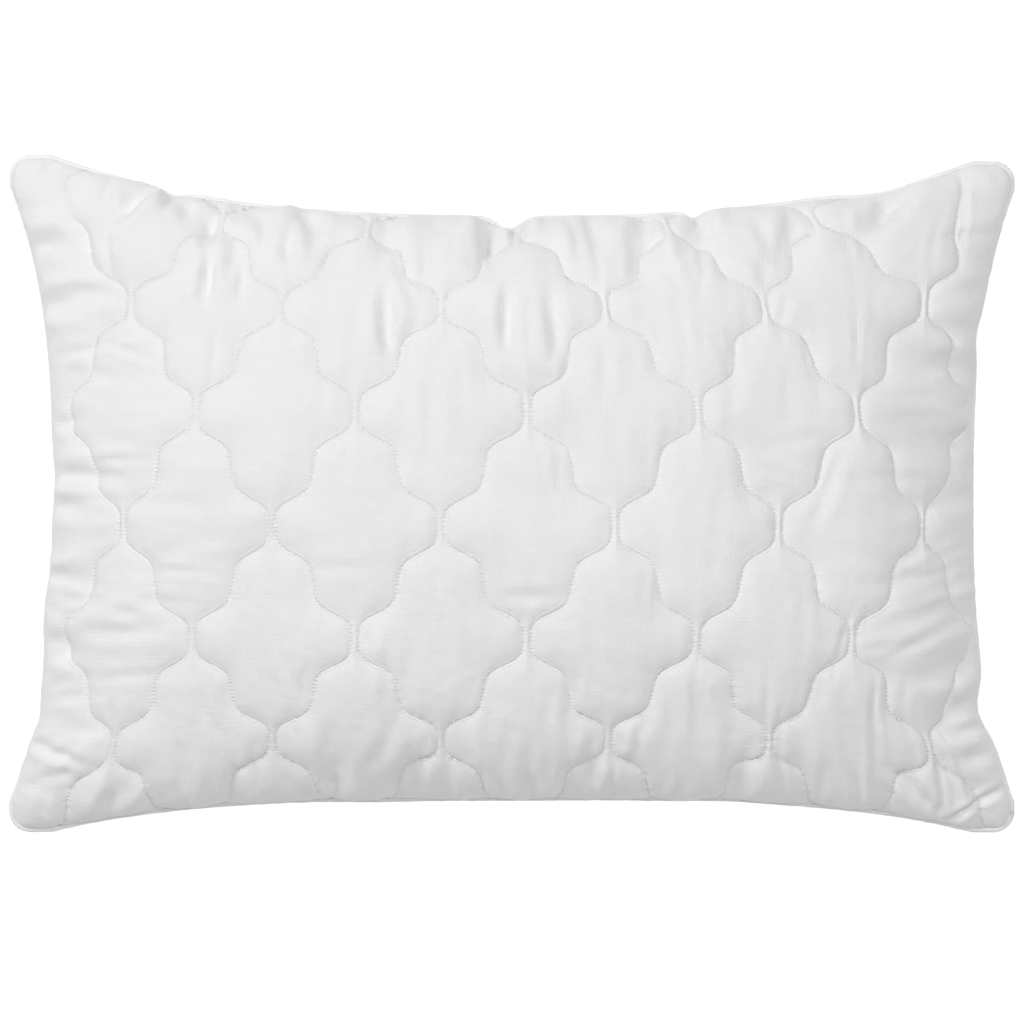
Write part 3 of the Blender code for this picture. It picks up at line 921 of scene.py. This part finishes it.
def seamRoute(inset, count):
    # evenly spaced points along the seam: the four sides and four round corners of the cut panel in turn
    r = pillow["cornerRadius"]
    straightX, straightY = 2 * (halfLength - r), 2 * (halfWidth - r)
    arc = math.pi / 2 * r
    legs = [straightY, arc, straightX, arc, straightY, arc, straightX, arc]
    starts = np.concatenate([[0], np.cumsum(legs)])
    s = np.linspace(0, starts[-1], count, endpoint=False)
    corners = [(1, 1), (-1, 1), (-1, -1), (1, -1)]
    a, b = np.empty(count), np.empty(count)
    for k in range(8):
        here = (s >= starts[k]) & (s < starts[k + 1])
        part = s[here] - starts[k]
        cornerX, cornerY = corners[k // 2]
        if k % 2 == 0:
            lastX, lastY = corners[k // 2 - 1]
            pointX = lastX * (halfLength - r) + (lastX * r if lastX == cornerX else 0)
            pointY = lastY * (halfWidth - r) + (lastY * r if lastY == cornerY else 0)
            a[here] = pointX + (0 if lastX == cornerX else cornerX * part)
            b[here] = pointY + (0 if lastY == cornerY else cornerY * part)
        else:
            turn = math.atan2(cornerY, cornerX) - math.pi / 4 + part / r
            a[here] = cornerX * (halfLength - r) + r * np.cos(turn)
            b[here] = cornerY * (halfWidth - r) + r * np.sin(turn)
    x, y = planOf(a, b, inset)
    return np.stack([x, y, seamHeight + seamWander(a, b)], 1), s


def weltSection():
    # the folded strip cut across: round over the cord, with two leaves in the seam
    outerZ, innerZ = welt["slot"] / 2 + welt["wall"], welt["slot"] / 2
    outerR, innerR = welt["radius"], welt["radius"] - welt["wall"]
    leaf, fold = welt["leaf"], welt["leaf"] * welt["leafFold"]
    outerTurn = math.pi - math.asin(outerZ / outerR)
    innerTurn = math.pi - math.asin(innerZ / innerR)
    outer = np.linspace(outerTurn, -outerTurn, welt["outerPoints"])
    inner = np.linspace(-innerTurn, innerTurn, welt["innerPoints"])
    points = [(-leaf, outerZ), (-fold, outerZ)]
    points += [(outerR * math.cos(t), outerR * math.sin(t)) for t in outer]
    points += [(-fold, -outerZ), (-leaf, -outerZ), (-leaf, -innerZ)]
    points += [(innerR * math.cos(t), innerR * math.sin(t)) for t in inner]
    points += [(-leaf, innerZ)]
    return np.array(points)


def makeWelt(coverMaterial, cordMaterial, threadMaterial):
    route, run = seamRoute(welt["radius"], welt["points"])
    forward = np.roll(route, -1, 0) - np.roll(route, 1, 0)
    forward[:, 2] = 0
    forward /= np.linalg.norm(forward, axis=1, keepdims=True)
    outward = np.stack([forward[:, 1], -forward[:, 0], np.zeros(len(route))], 1)
    section = weltSection()
    # the strip is pulled a little unevenly over its cord
    plump = welt["unevenness"] * Ripples(71, welt["unevenLength"], 12).at(run, run * 0)
    reachOut = np.where(section[:, 0] > -welt["radius"], 1.0, 0.0)
    size = 1 + plump[:, None] * reachOut[None, :]
    points = route[:, None] + outward[:, None] * (section[:, 0] * size)[..., None]
    points[..., 2] += section[:, 1] * size
    n, m = len(route), len(section)
    i, j = np.arange(n)[:, None], np.arange(m)[None, :]
    nextI, nextJ = (i + 1) % n, (j + 1) % m
    quads = np.stack([i * m + j, nextI * m + j, nextI * m + nextJ, i * m + nextJ], -1).reshape(-1, 4)
    strip = meshFrom("pipingCover", points.reshape(-1, 3), quads)
    around = np.concatenate([[0], np.cumsum(np.linalg.norm(np.diff(section, axis=0), axis=1))])
    alongRun = np.repeat(run[:, None], m, 1)
    across = np.repeat(around[None, :], n, 0)
    # cut on the bias, so its threads run slantwise
    slant, counterSlant = (alongRun + across) * welt["biasShare"], (alongRun - across) * welt["biasShare"]
    keepPlaces(strip, slant, counterSlant, np.ones((n, m)), np.zeros((n, m)))
    declare(strip, coverMaterial, "cover_cotton", "piping_cover")
    points, quads = tubeAlong([route], welt["cord"], welt["cordSides"], closed=True)
    cord = meshFrom("pipingCord", points, quads)
    declare(cord, cordMaterial, "filler_cord", "piping_cord")
    inner = seamRoute(closingSeam["inset"], closingSeam["points"])[0]
    points, quads = tubeAlong([inner], stitch["radius"], closingSeam["sides"], closed=True)
    thread = meshFrom("seamThread", points, quads)
    declare(thread, threadMaterial, "quilting_thread", "seam_thread")


# lamps: name, place, size, watts; all of them look at a point over the floor
studio = {
    "around": 0.21, "floorSize": 40, "floorShade": 0.14, "floorGlow": 0.93, "floorHeight": -0.0005,
    "lamps": [("topSoftbox", (0.26, 0.42, 3.2), (2.2, 2.2), 57.0),
              ("keyLamp", (-1.9, 1.2, 2.1), (0.8, 0.8), 24.5)],
    "lampAim": (0, 0, 0.1),
    "lens": 100.0, "sensor": 36.0, "viewWidth": 0.7487, "viewX": 0.0, "viewY": -0.0135,
}


def makeStudio():
    floorMaterial, shader = newMaterial("studioFloor", (studio["floorShade"],) * 3, 0.9)
    shader.inputs["Emission Color"].default_value = (1, 1, 1, 1)
    shader.inputs["Emission Strength"].default_value = studio["floorGlow"]
    bpy.ops.mesh.primitive_plane_add(size=studio["floorSize"], location=(0, 0, studio["floorHeight"]))
    floor = bpy.context.object
    floor.name = "studioFloor"
    floor.data.materials.append(floorMaterial)
    world = bpy.data.worlds.new("studioWorld")
    bpy.context.scene.world = world
    world.use_nodes = True
    background = world.node_tree.nodes["Background"]
    background.inputs["Color"].default_value = (1, 1, 1, 1)
    background.inputs["Strength"].default_value = studio["around"]
    for name, place, size, power in studio["lamps"]:
        lamp = bpy.data.lights.new(name, "AREA")
        lamp.shape = "RECTANGLE"
        lamp.size, lamp.size_y = size
        lamp.energy = power
        lampObject = bpy.data.objects.new(name, lamp)
        bpy.context.scene.collection.objects.link(lampObject)
        lampObject.location = place
        look = Vector(studio["lampAim"]) - Vector(place)
        lampObject.rotation_euler = look.to_track_quat("-Z", "Y").to_euler()


def makeCamera():
    data = bpy.data.cameras.new("mainCamera")
    data.lens = studio["lens"]
    data.sensor_width = studio["sensor"]
    data.clip_end = 50
    camera = bpy.data.objects.new("mainCamera", data)
    bpy.context.scene.collection.objects.link(camera)
    distance = studio["viewWidth"] * studio["lens"] / data.sensor_width
    camera.location = (midX + studio["viewX"], midY + studio["viewY"], seamHeight + distance)
    bpy.context.scene.camera = camera
    bpy.context.scene.view_settings.view_transform = "Standard"


print("stage: camera and light")
makeCamera()
makeStudio()

print("stage: laying out the quilting lines")
grid = panelGrid()
measures = stitchMeasures(*grid)

print("stage: cloth, thread and fibre materials")
cotton = coverCloth("quiltCotton", coverLook)
plainCotton = coverCloth("weltCotton", coverLook, stitched=False)
liningCloth = coverCloth("liningCloth", liningLook, stitched=False)
thread, wadding, fibre, cordCotton = [fibres(name, look) for name, look in fibreLooks.items()]

inside = {}
for word, side in (("front", 1), ("back", -1)):
    panel = Panel(side, grid, measures)
    settleCloth(panel, word)
    makeCover(panel, word, cotton)
    inside[word] = makeSandwich(panel, word, wadding, liningCloth)
    makeThreads(panel, word, grid[2], grid[3], thread)
    print("stage:", word, "side done")

print("stage: filling and piping")
makeFill(inside["front"], inside["back"], fibre)
makeWelt(plainCotton, cordCotton, thread)
